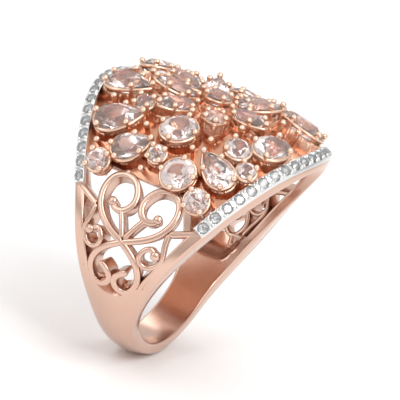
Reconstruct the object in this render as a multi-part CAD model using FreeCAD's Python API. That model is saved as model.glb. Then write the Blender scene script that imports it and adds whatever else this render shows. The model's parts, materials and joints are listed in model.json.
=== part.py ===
import FreeCAD, Part
import math
import os
from FreeCAD import Vector

# Cocktail ring: a plain shank that flares into two openwork shoulders, and a wide domed head
# of faceted stones between two rows of small diamonds.
#
# The finger lies along Y and the origin is the middle of the finger's bore.  Every section of
# the ring is a plane through the finger's axis at an angle counted from the bottom of the shank
# (0), up the left shoulder (90, at -X) to the crest of the head (180, at +Z) and down the right
# one.  Lengths are in millimetres, angles in degrees.

# ---- the band ----
FINGER_RADIUS = 8.65
SHANK_HALF_WIDTH = 1.5
HEAD_HALF_WIDTH = 9.3
FLARE_START = 40.0
FLARE_END = 179.0
# height of the outer edge over the finger at each angle
RIM_HEIGHTS = ((0, 0.8), (30, 0.8), (60, 1.4), (90, 2.15), (120, 1.5), (150, 1.1), (180, 0.72))
# how far the middle of the outer face stands over its edges
CROWN_HEIGHTS = ((0, 0.4), (60, 0.5), (90, 0.8), (120, 0.85), (180, 0.85))

# ---- the openwork shoulders ----
SHOULDER_WALL = 1.35
HOLLOW_START = 56.0
HOLLOW_FULL = 75.0
WINDOW_START = 75.0
PANEL_END = 124.0
RIM_WIDTH = 0.75
STRAND_WIDTH = 0.5
FINE_STRAND_WIDTH = 0.4
BALL_RADIUS = 0.34
PATTERN_CENTRE = 97.5
PATTERN_HALF_WIDTH = 4.25
PATTERN_HEIGHT = 9.66

# ---- the diamond rows ----
ROW_START = 112.0
ROW_WIDTH = 0.95
ROW_RISE = 0.45
CHANNEL_LIP = 0.3
RAIL_RELIEF = 0.2
DIAMOND_DIAMETER = 0.86
DIAMOND_GAP = 0.3
DIAMOND_SINK = 0.06
BEAD_RADIUS = 0.12
# the beads' places, as shares of the way to the next stone and of the stone's radius
BEAD_ALONG = 0.92
BEAD_ACROSS = 0.72

# ---- the head ----
DOME_EDGE_HEIGHT = 1.7
DOME_RISE = 1.45
# the dome is flatter over the shoulders and reaches its full rise further up
DOME_SHOULDER_SHARE = 0.7
DOME_RISE_START = 119.0
DOME_RISE_END = 145.0
PLATE_DEPTH = 0.95
# how much deeper the plate lies along its middle, and how far up that is reached
PLATE_DIP = 0.4
PLATE_DIP_REACH = 30.0
PLATE_THICKNESS = 0.55
PLATE_OVERLAP = 0.3
BRIDGE_START = 128.0
BRIDGE_LEG = 4.0
BRIDGE_WIDTH = 0.9
BRIDGE_THICKNESS = 0.7
BRIDGE_SPACING = 3.2

# ---- the stones and their settings ----
GIRDLE = 0.14
CROWN_SLOPE = 0.8
PAVILION_SHARE = 0.46
TABLE_SHARE = 0.56
CULET_SHARE = 0.08
PEAR_BELLY = 1.18
PEAR_TAPER = 0.9
MARQUISE_TAPER = 0.5
COLLAR_DEPTH = 1.6
COLLAR_WALL = 0.24
COLLAR_DRAFT = 0.8
COLLAR_TOP = 0.1
PRONG_RADIUS = 0.19
PRONG_BALL = 0.25
PRONG_HEIGHT = 0.24
PRONG_ROOT = 0.55
PRONG_SPACING = 0.46
PRONG_CLEARANCE = 0.2
STONE_SIDES = 20
DIAMOND_SIDES = 12

# The cluster's layout on a flat template whose middle is the crest: x runs along the band
# towards the right shoulder, y across it.  One half is listed, and the other is the same half
# turned by 180 degrees.  Each line holds the name, cut, x, y, heading of the long axis (towards
# a pear's point), length, width, lift over the dome and how far the outer end is tipped up.
TEMPLATE_HALF_WIDTH = 9.3
TEMPLATE_RISE_SHARE = 0.65
CENTRE_STONE = ("centre_stone", "oval", 0.0, 0.0, 0.0, 2.0, 2.0, -0.45, 0.0)
HALF_CLUSTER = (
    ("petal_1", "marquise", -3.65, 1.68, 149.0, 3.6, 1.85, -0.4, 16.0),
    ("petal_2", "marquise", -1.6, 2.86, 120.0, 3.6, 1.9, -0.25, 21.0),
    ("petal_3", "pear", -3.65, -1.55, 204.0, 3.4, 2.2, -0.35, 24.0),
    ("petal_4", "marquise", -1.4, -3.35, 250.0, 3.7, 2.0, -0.4, 11.0),
    ("back_pear", "pear", -7.25, 4.75, -60.0, 3.8, 2.75, 0.0, 0.0),
    ("small_pear", "pear", -9.2, 2.55, -50.0, 3.2, 2.3, 0.0, 0.0),
    ("inner_oval", "oval", -6.45, 0.0, -47.0, 2.9, 2.5, 0.0, 0.0),
    ("shoulder_oval", "oval", -9.85, -1.8, -41.0, 2.7, 2.4, 0.0, 0.0),
    ("shoulder_round", "oval", -11.2, -4.05, 0.0, 1.9, 1.9, 0.0, 0.0),
    ("front_pear", "pear", -8.24, -4.2, 61.0, 3.4, 2.4, 0.0, 0.0),
    ("edge_round", "oval", -7.2, -6.24, 0.0, 1.5, 1.5, 0.0, 0.0),
    ("gap_round", "oval", -5.73, -4.72, 0.0, 2.0, 2.0, 0.0, 0.0),
    ("edge_oval", "oval", -3.77, -6.58, -30.0, 3.1, 2.4, 0.0, 0.0),
    ("small_round", "oval", -9.1, 0.42, 0.0, 1.4, 1.4, 0.0, 0.0),
    ("corner_round", "oval", -11.2, 4.5, 0.0, 1.8, 1.8, 0.0, 0.0),
    ("inner_round", "oval", -5.2, 3.75, 0.0, 1.55, 1.55, 0.0, 0.0),
    ("edge_pear", "pear", -3.2, 6.05, -90.0, 3.9, 2.75, 0.0, 0.0),
)
# ball-ended posts that fill the gaps between the stones, x and y on the same template
FILLER_POSTS = (
    (-0.3, 5.5), (-0.5, 6.85), (-3.65, -3.85), (-6.2, -2.6), (-5.45, 6.2), (-7.2, 2.38),
    (-7.55, -1.8), (-10.55, 1.0), (-4.3, 0.1), (-9.72, 5.3),
)
FILLER_RADIUS = 0.2
FILLER_BALL = 0.27

# The shoulder's scrollwork on a flat template: y from the middle, v up the band from the point
# of the heart.  Each strand is drawn once and repeated on the other side of the middle.
HEART = (
    (0.0, 0.0), (1.35, 0.62), (2.45, 1.5), (3.05, 2.7), (3.08, 3.75), (2.7, 4.6), (1.95, 4.98),
    (1.2, 4.85), (0.6, 4.2), (0.33, 3.4), (0.5, 2.65), (1.05, 2.18), (1.65, 2.25), (1.95, 2.6),
)
STAY = ((1.0, 2.15), (0.55, 1.3), (0.1, 0.3))
LOOP = (
    (0.0, 0.0), (0.8, -0.5), (1.55, -1.2), (2.0, -2.2), (1.85, -3.3), (1.2, -3.95), (0.55, -3.75),
    (0.2, -3.1), (0.45, -2.6), (1.2, -2.1),
)
SCROLL = ((2.8, -0.05), (2.3, 0.3), (1.8, -0.1), (1.75, -0.8), (2.3, -1.2), (2.95, -0.95), (3.3, -0.3))
SIDE_STRAND = ((3.15, 1.9), (3.2, 0.9), (3.35, -0.3), (3.0, -1.5), (2.4, -2.9), (2.1, -4.2))
SIDE_BRANCH = ((3.15, 1.9), (3.8, 2.2), (4.6, 2.6), (5.4, 3.0))
TOP_LINK = ((1.95, 4.98), (1.95, 5.3), (1.9, 6.2))
LOOP_ROOT = ((1.2, -3.95), (1.3, -4.4), (1.5, -5.0))
BALLS = ((1.95, 2.6), (2.8, -0.05))

FAR = 30.0
SECTION_STEP = 9.0


# ---- small helpers ----
def smooth_step(value):
    """0 below 0, 1 above 1, and a smooth S between."""
    t = min(max(value, 0.0), 1.0)
    return t * t * (3.0 - 2.0 * t)


def folded(angle):
    """The angle on the left half that a section mirrors."""
    turn = angle % 360.0
    return min(turn, 360.0 - turn)


def station_value(stations, angle):
    """A smooth curve through the stations, level at both ends."""
    a = folded(angle)
    count = len(stations)
    slopes = [0.0] * count
    for i in range(1, count - 1):
        rise = stations[i + 1][1] - stations[i - 1][1]
        slopes[i] = rise / (stations[i + 1][0] - stations[i - 1][0])
    for i in range(count - 1):
        a0, v0 = stations[i]
        a1, v1 = stations[i + 1]
        if a <= a1:
            break
    span = a1 - a0
    t = (a - a0) / span
    stay = 2 * t ** 3 - 3 * t ** 2 + 1
    lead = t ** 3 - 2 * t ** 2 + t
    trail = t ** 3 - t ** 2
    return stay * v0 + (1 - stay) * v1 + span * (lead * slopes[i] + trail * slopes[i + 1])


def half_width(angle):
    share = smooth_step((folded(angle) - FLARE_START) / (FLARE_END - FLARE_START))
    return SHANK_HALF_WIDTH + (HEAD_HALF_WIDTH - SHANK_HALF_WIDTH) * share


def rim_radius(angle):
    return FINGER_RADIUS + station_value(RIM_HEIGHTS, angle)


def crown_radius(angle):
    return rim_radius(angle) + station_value(CROWN_HEIGHTS, angle)


def band_width(angle):
    """Width of the solid edge band, which grows to the width of a diamond row."""
    share = smooth_step((folded(angle) - WINDOW_START) / (ROW_START - WINDOW_START))
    return RIM_WIDTH + (ROW_WIDTH - RIM_WIDTH) * share


def opening_half(angle):
    return half_width(angle) - band_width(angle)


def dome_radius(angle, y):
    """The surface that the stones' girdles follow."""
    across = min(abs(y) / HEAD_HALF_WIDTH, 1.0)
    up = smooth_step((folded(angle) - DOME_RISE_START) / (DOME_RISE_END - DOME_RISE_START))
    share = DOME_SHOULDER_SHARE + (1.0 - DOME_SHOULDER_SHARE) * up
    return FINGER_RADIUS + DOME_EDGE_HEIGHT + DOME_RISE * (1.0 - across ** 2) * share


def at(angle, y, radius):
    turn = math.radians(angle)
    return Vector(-radius * math.sin(turn), y, -radius * math.cos(turn))


def spread(start, end, step):
    count = max(int(math.ceil((end - start) / step)), 1)
    return [start + (end - start) * i / count for i in range(count + 1)]


def mirrored(shape):
    """The same shape on the other shoulder."""
    return shape.mirror(Vector(0, 0, 0), Vector(1, 0, 0))


def other_edge(shape):
    """The same shape on the other edge of the ring."""
    return shape.mirror(Vector(0, 0, 0), Vector(0, 1, 0))


def curve_through(points):
    """A straight edge when the three points are in line, an arc when they aren't."""
    a, b, c = points
    if (b - a).cross(c - b).Length < 1e-6:
        return Part.LineSegment(a, c).toShape()
    return Part.Arc(a, b, c).toShape()


def section(angle, half, low, high):
    """A closed section of the given half-width; low and high give a radius from y."""
    bottom = [at(angle, y, low(y)) for y in (-half, 0.0, half)]
    top = [at(angle, y, high(y)) for y in (half, 0.0, -half)]
    sides = [Part.LineSegment(bottom[2], top[0]).toShape(), Part.LineSegment(top[2], bottom[0]).toShape()]
    return Part.Wire([curve_through(bottom), sides[0], curve_through(top), sides[1]])


def arch_between(edge, middle, half):
    """A radius that goes from edge at the sides to middle on the centre line."""
    return lambda y: middle + (edge - middle) * (y / half) ** 2


def loft(wires):
    return Part.makeLoft(wires, True, False)


def wedge(start, end):
    """Everything between two planes through the finger's axis."""
    rim = [at(a, -FAR, FAR) for a in spread(start, end, 30.0)]
    outline = Part.makePolygon([Vector(0, -FAR, 0)] + rim + [Vector(0, -FAR, 0)])
    return Part.Face(outline).extrude(Vector(0, 2 * FAR, 0))


def bore():
    return Part.makeCylinder(FINGER_RADIUS, 2 * FAR, Vector(0, -FAR, 0), Vector(0, 1, 0))


# ---- the shank ----
def outer_body(start, end, low):
    """The band's full section from a given inner radius to its crowned outer face."""
    wires = []
    for a in spread(start, end, SECTION_STEP):
        half = half_width(a)
        top = arch_between(rim_radius(a), crown_radius(a), half)
        wires.append(section(a, half, lambda y: low, top))
    return loft(wires)


def hollow():
    """The scoop behind the shoulder, which thins the band to the openwork's wall."""
    wires = []
    start_radius = FINGER_RADIUS - SHOULDER_WALL / 2
    for a in spread(HOLLOW_START, WINDOW_START, SECTION_STEP / 2):
        share = smooth_step((a - HOLLOW_START) / (HOLLOW_FULL - HOLLOW_START))
        half = opening_half(a)
        edge = start_radius + (rim_radius(a) - SHOULDER_WALL - start_radius) * share
        middle = start_radius + (crown_radius(a) - SHOULDER_WALL - start_radius) * share
        wires.append(section(a, half, lambda y: FINGER_RADIUS / 2, arch_between(edge, middle, half)))
    return loft(wires)


def window():
    """The opening between the edge bands that the scrollwork fills."""
    wires = []
    for a in spread(WINDOW_START, ROW_START + SECTION_STEP * 2, SECTION_STEP / 2):
        wires.append(section(a, opening_half(a), lambda y: FINGER_RADIUS / 2, lambda y: FAR))
    return loft(wires)


def make_shank(opening):
    start = -SECTION_STEP
    body = outer_body(start, ROW_START + SECTION_STEP, FINGER_RADIUS - 1.0)
    half = body.common(wedge(0.0, ROW_START)).cut(bore())
    half = half.cut(hollow()).cut(opening)
    return half.fuse(mirrored(half))


# ---- the scrollwork ----
def pattern_point(point, side):
    """A template point on the plane that the scrollwork is cut through, seen along X."""
    radius = crown_radius(PATTERN_CENTRE)
    scale_y = opening_half(PATTERN_CENTRE) / (PATTERN_HALF_WIDTH - RIM_WIDTH)
    scale_v = (PANEL_END - WINDOW_START) * math.pi / 180 * radius / PATTERN_HEIGHT
    angle = math.radians(PATTERN_CENTRE) + point[1] * scale_v / radius
    return Vector(-FAR, side * point[0] * scale_y, -radius * math.cos(angle))


def strand(points, side, width):
    """A strip of even width along a smooth line, cut through along X."""
    line = Part.BSplineCurve()
    line.interpolate([pattern_point(p, side) for p in points])
    count = 6 * len(points)
    first, last = line.FirstParameter, line.LastParameter
    left, right = [], []
    for i in range(count + 1):
        t = first + (last - first) * i / count
        across = Vector(1, 0, 0).cross(line.tangent(t)[0])
        across.normalize()
        left.append(line.value(t) + across * (width / 2))
        right.append(line.value(t) - across * (width / 2))
    edges = []
    for row in (left, right[::-1]):
        edge = Part.BSplineCurve()
        edge.interpolate(row)
        edges.append(edge.toShape())
    ends = [Part.LineSegment(left[-1], right[-1]).toShape(), Part.LineSegment(right[0], left[0]).toShape()]
    outline = Part.Wire([edges[0], ends[0], edges[1], ends[1]])
    return Part.Face(outline).extrude(Vector(FAR, 0, 0))


def ball(point, side):
    return Part.makeCylinder(BALL_RADIUS, FAR, pattern_point(point, side), Vector(1, 0, 0))


def panel_shell():
    """The thin curved wall that the scrollwork is pierced from."""
    wires = []
    for a in spread(WINDOW_START, PANEL_END, SECTION_STEP / 2):
        half = half_width(a)
        outer = arch_between(rim_radius(a), crown_radius(a), half)
        inner = arch_between(rim_radius(a) - SHOULDER_WALL, crown_radius(a) - SHOULDER_WALL, half)
        wires.append(section(a, half, inner, outer))
    return loft(wires)


def make_scrollwork(opening, edges, seats):
    tools = []
    for side in (-1, 1):
        tools.append(strand(HEART, side, STRAND_WIDTH))
        tools.append(strand(LOOP, side, STRAND_WIDTH))
        tools.append(strand(TOP_LINK, side, STRAND_WIDTH))
        tools.append(strand(LOOP_ROOT, side, STRAND_WIDTH))
        tools.append(strand(SIDE_BRANCH, side, STRAND_WIDTH))
        tools.append(strand(SIDE_STRAND, side, FINE_STRAND_WIDTH))
        tools.append(strand(STAY, side, FINE_STRAND_WIDTH))
        tools.append(strand(SCROLL, side, FINE_STRAND_WIDTH))
        tools += [ball(p, side) for p in BALLS]
    pierced = tools[0].multiFuse(tools[1:])
    panel = panel_shell().common(pierced).common(opening).cut(edges)
    return panel.cut(seats)


# ---- the edge rails and diamond channels ----
def edge_section(angle):
    outer = half_width(angle)
    inner = outer - ROW_WIDTH
    rim = rim_radius(angle)
    corners = (
        (inner, FINGER_RADIUS + RAIL_RELIEF), (outer, FINGER_RADIUS + RAIL_RELIEF),
        (outer, rim + CHANNEL_LIP), (inner, rim + CHANNEL_LIP + ROW_RISE),
    )
    points = [at(angle, y, r) for y, r in corners]
    return Part.makePolygon(points + points[:1])


def edge_body():
    """The rail and channel of the back edge in one piece."""
    return loft([edge_section(a) for a in spread(ROW_START, 360 - ROW_START, SECTION_STEP)])


def below_rim():
    """Everything nearer the finger than the rim, which splits the rail from the channel."""
    wires = []
    for a in spread(ROW_START - SECTION_STEP, 360 - ROW_START + SECTION_STEP, SECTION_STEP):
        half = half_width(a) + 1.0
        wires.append(section(a, half, lambda y: FINGER_RADIUS / 2, lambda y: rim_radius(a)))
    return loft(wires)


def row_point(angle):
    return at(angle, half_width(angle) - ROW_WIDTH / 2, rim_radius(angle) + CHANNEL_LIP + ROW_RISE / 2)


def row_way(angle):
    way = row_point(angle + 1) - row_point(angle - 1)
    way.normalize()
    return way


def row_normal(angle):
    """Square to the channel's sloping top face."""
    normal = row_way(angle).cross(at(angle, ROW_WIDTH, -ROW_RISE))
    normal.normalize()
    return normal if normal.dot(at(angle, 0, 1)) > 0 else normal * -1


def row_places():
    """Evenly spaced diamond places along the row: point, normal and the way along."""
    angles = spread(ROW_START, 360 - ROW_START, 0.5)
    points = [row_point(a) for a in angles]
    travelled = [0.0]
    for p, q in zip(points, points[1:]):
        travelled.append(travelled[-1] + (q - p).Length)
    count = int(travelled[-1] / (DIAMOND_DIAMETER + DIAMOND_GAP))
    step = travelled[-1] / count
    places = []
    for i in range(count):
        wanted = (i + 0.5) * step
        k = next(n for n, d in enumerate(travelled) if d >= wanted)
        share = (wanted - travelled[k - 1]) / (travelled[k] - travelled[k - 1])
        angle = angles[k - 1] + share * (angles[k] - angles[k - 1])
        places.append((row_point(angle), row_normal(angle), row_way(angle)))
    return places


def make_channel(body, places):
    """The white channel, drilled for its diamonds, with a raised bead at each stone's corners."""
    seats = []
    beads = []
    radius = DIAMOND_DIAMETER / 2
    for point, normal, way in places:
        seats.append(Part.makeCylinder(radius, 2.0, point - normal * radius, normal))
        across = normal.cross(way)
        for a in (-1, 1):
            for b in (-1, 1):
                ahead = way * (a * (radius + DIAMOND_GAP / 2) * BEAD_ALONG)
                centre = point + ahead + across * (b * radius * BEAD_ACROSS)
                beads.append(Part.makeSphere(BEAD_RADIUS, centre))
    return body.multiFuse(beads).cut(Part.makeCompound(seats))


def make_row_diamonds(places):
    stones = []
    for point, normal, way in places:
        base = FreeCAD.Placement(point - normal * DIAMOND_SINK, frame_turn(way, normal))
        shape = cut_stone("oval", DIAMOND_DIAMETER, DIAMOND_DIAMETER, DIAMOND_SIDES)
        shape.Placement = base
        stones.append(shape)
    return Part.makeCompound(stones)


# ---- stones ----
def outline(cut, length, width, sides):
    """The girdle as points in order; a pear or marquise points along +x."""
    points = []
    for i in range(sides):
        t = 2 * math.pi * i / sides
        x = length / 2 * math.cos(t)
        y = width / 2 * math.sin(t)
        if cut == "pear":
            y *= PEAR_BELLY * abs(math.sin(t / 2)) ** PEAR_TAPER
        if cut == "marquise":
            y *= abs(math.sin(t)) ** MARQUISE_TAPER
        points.append((x, y))
    return points


def ring_at(points, scale, z):
    return [Vector(x * scale, y * scale, z) for x, y in points]


def skin(rings):
    """A closed solid with flat facets through rings of matching points."""
    faces = []
    for low, high in zip(rings, rings[1:]):
        count = len(low)
        for i in range(count):
            j = (i + 1) % count
            faces.append(Part.Face(Part.makePolygon([low[i], low[j], high[j], high[i], low[i]])))
    for ring in (rings[0], rings[-1]):
        faces.append(Part.Face(Part.makePolygon(ring + ring[:1])))
    solid = Part.Solid(Part.Shell(faces))
    return solid if solid.Volume > 0 else solid.reversed()


def cut_stone(cut, length, width, sides):
    """Table, crown, girdle and pavilion over one outline, with the girdle at z = 0."""
    points = outline(cut, length, width, sides)
    crown = width / 2 * (1 - TABLE_SHARE) * CROWN_SLOPE
    rings = [
        ring_at(points, CULET_SHARE, -PAVILION_SHARE * width),
        ring_at(points, 1.0, -GIRDLE / 2),
        ring_at(points, 1.0, GIRDLE / 2),
        ring_at(points, TABLE_SHARE, GIRDLE / 2 + crown),
    ]
    return skin(rings)


def frame_turn(x_axis, z_axis):
    """The rotation that takes +x and +z to the given directions."""
    y_axis = z_axis.cross(x_axis)
    return FreeCAD.Rotation(x_axis, y_axis, z_axis, "ZXY")


def template_scale():
    """The template is drawn for one head width and grows with the head."""
    return HEAD_HALF_WIDTH / TEMPLATE_HALF_WIDTH


def cluster():
    """Every stone of the head as (name, cut, x, y, heading, length, width, lift, tip)."""
    k = template_scale()
    stones = []
    for turn, suffix in ((0.0, "_left"), (180.0, "_right")):
        sign = -1 if turn else 1
        for name, cut, x, y, heading, length, width, lift, tip in HALF_CLUSTER:
            stones.append((name + suffix, cut, sign * x * k, sign * y * k, heading + turn,
                           length * k, width * k, lift * k, tip))
    name, cut, x, y, heading, length, width, lift, tip = CENTRE_STONE
    stones.append((name, cut, x, y, heading, length * k, width * k, lift * k, tip))
    return stones


def template_radius():
    """Where the flat template wraps round the ring without stretching."""
    return FINGER_RADIUS + DOME_EDGE_HEIGHT + DOME_RISE * TEMPLATE_RISE_SHARE


def stone_placement(stone):
    """Sits the stone on the dome, turned to its heading and with its outer end tipped up."""
    name, cut, x, y, heading, length, width, lift, tip = stone

    def on_dome(px, py):
        angle = 180.0 + math.degrees(px / template_radius())
        return at(angle, py, dome_radius(angle, py) + lift)

    step = 0.05
    along = on_dome(x + step, y) - on_dome(x - step, y)
    across = on_dome(x, y + step) - on_dome(x, y - step)
    normal = along.cross(across)
    normal.normalize()
    along = along - normal * along.dot(normal)
    along.normalize()
    side = normal.cross(along)
    turn = math.radians(heading)
    forward = along * math.cos(turn) + side * math.sin(turn)
    outward = 1.0 if x * math.cos(turn) + y * math.sin(turn) > 0 else -1.0
    rise = math.radians(tip) * outward
    tipped = forward * math.cos(rise) + normal * math.sin(rise)
    upright = normal * math.cos(rise) - forward * math.sin(rise)
    return FreeCAD.Placement(on_dome(x, y), frame_turn(tipped, upright))


def make_stone(stone):
    shape = cut_stone(stone[1], stone[5], stone[6], STONE_SIDES)
    shape.Placement = stone_placement(stone)
    return shape


# ---- settings ----
def template_outline(stone, grow):
    """A stone's girdle on the flat template, grown by the given margin."""
    name, cut, x, y, heading, length, width, lift, tip = stone
    turn = math.radians(heading)
    points = []
    for px, py in outline(cut, length + 2 * grow, width + 2 * grow, 2 * STONE_SIDES):
        points.append((x + px * math.cos(turn) - py * math.sin(turn),
                       y + px * math.sin(turn) + py * math.cos(turn)))
    return points


def prong_turns(cut):
    """Where the prongs stand round the girdle, in degrees of the outline's own parameter."""
    if cut == "marquise":
        return (0, 180, 62, 118, 242, 298)
    if cut == "pear":
        return (0, 72, 150, 210, 288)
    return (45, 135, 225, 315)


def prong_spots(stones):
    """The prongs of every stone, leaving out those that a neighbour's stone or prong crowds."""
    rims = {s[0]: template_outline(s, 0.0) for s in stones}
    taken = []
    spots = {}
    for stone in stones:
        spots[stone[0]] = []
        turns = prong_turns(stone[1])
        ring = template_outline(stone, 0.0)
        local = outline(stone[1], stone[5], stone[6], 2 * STONE_SIDES)
        for turn in turns:
            i = int(round(turn / 360.0 * len(ring))) % len(ring)
            p = ring[i]
            near_prong = any(math.dist(p, q) < PRONG_SPACING for q in taken)
            others = [rims[s[0]] for s in stones if s is not stone]
            near_stone = any(math.dist(p, q) < PRONG_CLEARANCE for rim in others for q in rim)
            if not near_prong and not near_stone:
                taken.append(p)
                spots[stone[0]].append(local[i])
    return spots


def collar_body(stone):
    """A tapered block under a stone's girdle, in the stone's own frame."""
    points = outline(stone[1], stone[5], stone[6], STONE_SIDES)
    low = ring_at(points, COLLAR_DRAFT, -COLLAR_DEPTH)
    return skin([low, ring_at(points, 1.0, -COLLAR_TOP)])


def prong_post(x, y):
    return Part.makeCylinder(PRONG_RADIUS, PRONG_HEIGHT + PRONG_ROOT, Vector(x, y, -PRONG_ROOT))


def make_setting(stone, spots):
    """A tapered collar with ball-ended prongs, cut to bear on its stone."""
    prongs = []
    for x, y in spots:
        prongs += [prong_post(x, y), Part.makeSphere(PRONG_BALL, Vector(x, y, PRONG_HEIGHT))]
    solid = collar_body(stone)
    if prongs:
        solid = solid.multiFuse(prongs)
    points = outline(stone[1], stone[5] - 2 * COLLAR_WALL, stone[6] - 2 * COLLAR_WALL, STONE_SIDES)
    core = skin([ring_at(points, COLLAR_DRAFT, -FAR / 6), ring_at(points, 1.0, GIRDLE)])
    solid = solid.cut(core)
    solid = solid.cut(cut_stone(stone[1], stone[5], stone[6], STONE_SIDES))
    solid.Placement = stone_placement(stone)
    return solid


def make_seats(stones, spots):
    """What the settings take out of the gallery and the scrollwork."""
    seats = []
    for stone in stones:
        bodies = [collar_body(stone)] + [prong_post(x, y) for x, y in spots[stone[0]]]
        for body in bodies:
            body.Placement = stone_placement(stone).multiply(body.Placement)
            seats.append(body)
    return seats


# ---- the gallery ----
def plate_radius(angle, y):
    """The plate's top: PLATE_DEPTH under the girdles at its edges and deeper along its middle."""
    reach = smooth_step((folded(angle) - PANEL_END) / PLATE_DIP_REACH)
    across = min(abs(y) / (opening_half(angle) + PLATE_OVERLAP), 1.0)
    return dome_radius(angle, y) - PLATE_DEPTH - PLATE_DIP * reach * (1.0 - across ** 2)


def plate_body():
    wires = []
    for a in spread(PANEL_END, 360 - PANEL_END, SECTION_STEP):
        half = opening_half(a) + PLATE_OVERLAP
        wires.append(section(a, half, lambda y: plate_radius(a, y) - PLATE_THICKNESS,
                             lambda y: plate_radius(a, y)))
    return loft(wires)


def filler_posts():
    """Ball-ended posts that stand on the plate between the stones."""
    height = PLATE_DEPTH + PLATE_DIP + PLATE_THICKNESS / 2
    k = template_scale()
    posts = []
    for x, y in FILLER_POSTS + tuple((-x, -y) for x, y in FILLER_POSTS):
        post = Part.makeCylinder(FILLER_RADIUS, height, Vector(0, 0, -height))
        post = post.fuse(Part.makeSphere(FILLER_BALL))
        post.Placement = stone_placement(("post", "oval", x * k, y * k, 0.0, 0.0, 0.0, 0.0, 0.0))
        posts.append(post)
    return posts


def make_gallery(edges, seats):
    return plate_body().multiFuse(filler_posts()).cut(edges).cut(seats)


def make_bridge(seats):
    """Three arched bars over the finger, whose feet reach up to the gallery."""
    wires = []
    for a in spread(PANEL_END, 360 - PANEL_END, SECTION_STEP):
        half = opening_half(a)
        top = plate_radius(a, 0.0) - PLATE_THICKNESS / 2
        wires.append(section(a, half, lambda y: FINGER_RADIUS / 2, lambda y: top))
    below_plate = loft(wires).cut(plate_body())
    bars = []
    for y in (-BRIDGE_SPACING, 0.0, BRIDGE_SPACING):
        start = Vector(0, y - BRIDGE_WIDTH / 2, 0)
        arch = Part.makeCylinder(FINGER_RADIUS + BRIDGE_THICKNESS, BRIDGE_WIDTH, start, Vector(0, 1, 0))
        arch = arch.common(wedge(BRIDGE_START, 360 - BRIDGE_START))
        slab = Part.makeCylinder(FAR / 2, BRIDGE_WIDTH, start, Vector(0, 1, 0)).common(below_plate)
        feet = slab.common(wedge(BRIDGE_START, BRIDGE_START + BRIDGE_LEG))
        bars.append(arch.multiFuse([feet, mirrored(feet)]).cut(bore()).cut(seats))
    return Part.makeCompound(bars)


# ---- the whole ring ----
def make_parts():
    stones = cluster()
    spots = prong_spots(stones)
    opening = window()
    body = edge_body()
    edges = Part.makeCompound([body, other_edge(body)])
    seats = make_seats(stones, spots)
    parts = {"shank": make_shank(opening)}
    parts["scrollwork_left"] = make_scrollwork(opening, edges, seats)
    right_seats = [mirrored(seat) for seat in seats]
    parts["scrollwork_right"] = mirrored(make_scrollwork(opening, edges, right_seats))
    parts["gallery_plate"] = make_gallery(edges, seats)
    parts["gallery_bridge"] = make_bridge(seats)
    below = below_rim()
    places = row_places()
    back = {
        "rail": body.common(below),
        "channel": make_channel(body.cut(below), places),
        "row_diamonds": make_row_diamonds(places),
    }
    for name, shape in back.items():
        parts["back_" + name] = shape
        parts["front_" + name] = other_edge(shape)
    settings = {"flower_settings": [], "left_settings": [], "right_settings": []}
    for stone in stones:
        name = stone[0]
        parts[name] = make_stone(stone)
        group = "left_settings" if name.endswith("_left") else "right_settings"
        if name.startswith("petal") or name == "centre_stone":
            group = "flower_settings"
        settings[group].append(make_setting(stone, spots[name]))
    for name, shapes in settings.items():
        parts[name] = Part.makeCompound(shapes)
    return parts


def main():
    os.makedirs("parts", exist_ok=True)
    for name, shape in make_parts().items():
        shape.exportStep("parts/" + name + ".step")
        print(name, len(shape.Solids), round(shape.Volume, 2), shape.isValid())


main()
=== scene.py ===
"""A rose-gold cocktail ring: polished shank, pierced scrollwork shoulders and a domed cluster of
pale pink stones between two rows of small diamonds.

Lengths are in millimetres until a mesh is made, angles in degrees.  The finger lies along Y and
the origin is the middle of the bore.  An angle round the ring runs from the bottom of the shank
(0) up the left shoulder (90) to the crest of the head (180) and down the right one.
"""

import json
import math

import bpy
import numpy as np
from mathutils import Matrix, Vector


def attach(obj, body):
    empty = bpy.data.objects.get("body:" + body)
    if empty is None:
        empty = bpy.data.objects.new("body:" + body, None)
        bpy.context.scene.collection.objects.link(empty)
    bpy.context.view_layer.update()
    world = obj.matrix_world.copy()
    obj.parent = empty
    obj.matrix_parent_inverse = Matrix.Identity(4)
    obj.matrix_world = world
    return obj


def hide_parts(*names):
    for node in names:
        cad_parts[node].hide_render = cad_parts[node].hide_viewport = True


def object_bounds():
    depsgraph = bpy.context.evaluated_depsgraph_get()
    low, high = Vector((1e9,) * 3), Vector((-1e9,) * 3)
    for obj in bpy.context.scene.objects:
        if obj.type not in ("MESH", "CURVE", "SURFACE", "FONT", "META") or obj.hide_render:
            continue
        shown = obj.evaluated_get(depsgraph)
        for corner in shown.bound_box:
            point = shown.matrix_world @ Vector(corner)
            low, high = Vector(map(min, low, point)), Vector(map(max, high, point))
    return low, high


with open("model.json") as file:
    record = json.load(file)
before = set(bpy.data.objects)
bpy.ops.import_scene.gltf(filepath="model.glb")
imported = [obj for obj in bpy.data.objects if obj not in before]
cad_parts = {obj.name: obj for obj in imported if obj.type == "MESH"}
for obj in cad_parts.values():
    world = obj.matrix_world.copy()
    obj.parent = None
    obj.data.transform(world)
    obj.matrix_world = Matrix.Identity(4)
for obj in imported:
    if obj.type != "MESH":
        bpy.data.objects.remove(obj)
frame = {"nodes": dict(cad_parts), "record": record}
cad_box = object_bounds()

MM = 0.001
FINGER_RADIUS = frame["record"]["mounts"][0]["dims"]["r_mm"]

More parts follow.
